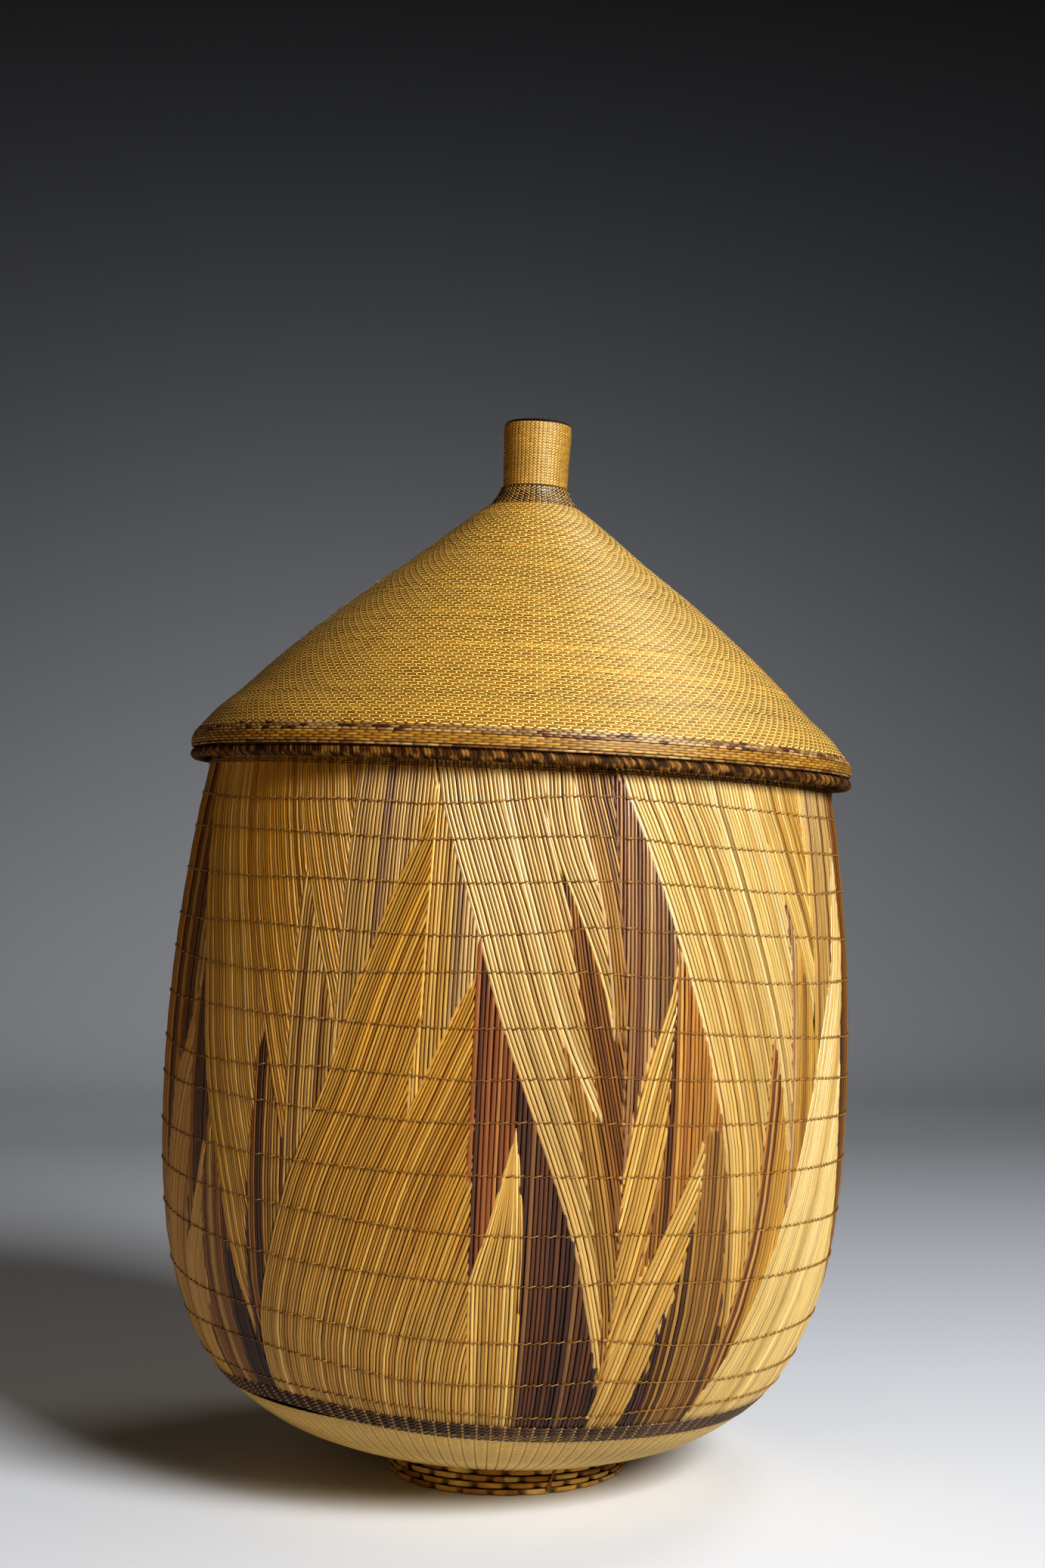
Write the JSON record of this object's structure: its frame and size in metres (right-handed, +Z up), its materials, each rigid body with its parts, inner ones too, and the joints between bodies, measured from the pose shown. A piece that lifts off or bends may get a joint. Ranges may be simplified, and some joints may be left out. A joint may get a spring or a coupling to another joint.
{
  "type": "lidded basket",
  "caption": "Round-bellied lidded basket of upright coloured stalks tied by twined rows, on a woven bowl and ring foot, with a conical lid that lifts off.",
  "frame": {"origin": "on the floor, under the middle of the basket's outer box", "axes": "+Z up; -Y towards the viewer of the picture; the basket's own axis leans about 2.8 degrees towards +X and 1.8 degrees towards +Y"},
  "size_m": [0.3656, 0.3635, 0.5537],
  "materials": {
    "stalk_pale": "matte, dry plant fibre",
    "stalk_gold": "matte, dry plant fibre",
    "stalk_tan": "matte, dry plant fibre",
    "stalk_grey": "matte, dry plant fibre",
    "stalk_brown": "matte, dry plant fibre",
    "stalk_orange": "matte, dry plant fibre",
    "stalk_red_brown": "matte, dry plant fibre",
    "stalk_purple": "matte, dry plant fibre",
    "stalk_dark": "matte, dry plant fibre",
    "bowl_straw": "matte, dry plant fibre",
    "lid_straw": "matte, dry plant fibre",
    "split_cane": "matte, dry plant fibre",
    "thread": "matte, dry plant fibre",
    "dark_weft": "matte, dry plant fibre",
    "rim_weft": "matte, dry plant fibre"
  },
  "bodies": {
    "basket": {"panel_01_brown": "stalk_brown", "panel_02_gold": "stalk_gold", "panel_03_dark": "stalk_purple", "panel_04_brown": "stalk_brown", "panel_05_pale": "stalk_pale", "panel_06_brown": "stalk_brown", "panel_07_tan": "stalk_tan", "panel_08_gold": "stalk_gold", "panel_09_tan": "stalk_tan", "panel_10_gold": "stalk_gold", "panel_11_dark": "stalk_dark", "panel_12_pale": "stalk_pale", "panel_13_grey": "stalk_grey", "panel_14_red_brown": "stalk_red_brown", "panel_15_gold": "stalk_gold", "panel_16_orange": "stalk_orange", "panel_17_gold": "stalk_gold", "panel_18_grey": "stalk_grey", "panel_19_pale": "stalk_pale", "panel_20_orange": "stalk_orange", "panel_21_tan": "stalk_tan", "panel_22_pale": "stalk_pale", "panel_23_brown": "stalk_brown", "panel_24_gold": "stalk_gold", "panel_25_brown": "stalk_brown", "panel_26_gold": "stalk_gold", "twining_row_01": "thread", "twining_row_02": "thread", "twining_row_03": "thread", "twining_row_04": "thread", "twining_row_05": "thread", "twining_row_06": "thread", "twining_row_07": "thread", "twining_row_08": "thread", "twining_row_09": "thread", "twining_row_10": "thread", "twining_row_11": "thread", "twining_row_12": "thread", "twining_row_13": "thread", "twining_row_14": "thread", "twining_row_top": "thread", "mouth_hoop": "stalk_brown", "dark_band": "dark_weft", "bowl": "bowl_straw", "foot_uprights": "split_cane", "foot_cane_row_1": "split_cane", "foot_cane_row_2": "split_cane", "foot_cane_row_3": "split_cane", "foot_cane_row_4": "split_cane", "foot_tie_left": "split_cane", "foot_tie_right": "split_cane"},
    "lid": {"lid_shell": "lid_straw", "rim_lower_row": "rim_weft", "rim_gold_rows": "lid_straw", "rim_accent_rows": "rim_weft", "rolled_edge": "rim_weft", "neck_band": "dark_weft", "knob": "lid_straw", "knob_top": "split_cane"}
  },
  "joints": [
    {"name": "lid_lift", "type": "slide", "parent": "basket", "child": "lid", "axis": [0.0492, 0.0319, 0.9983], "range_m": [0, 0.2]}
  ]
}
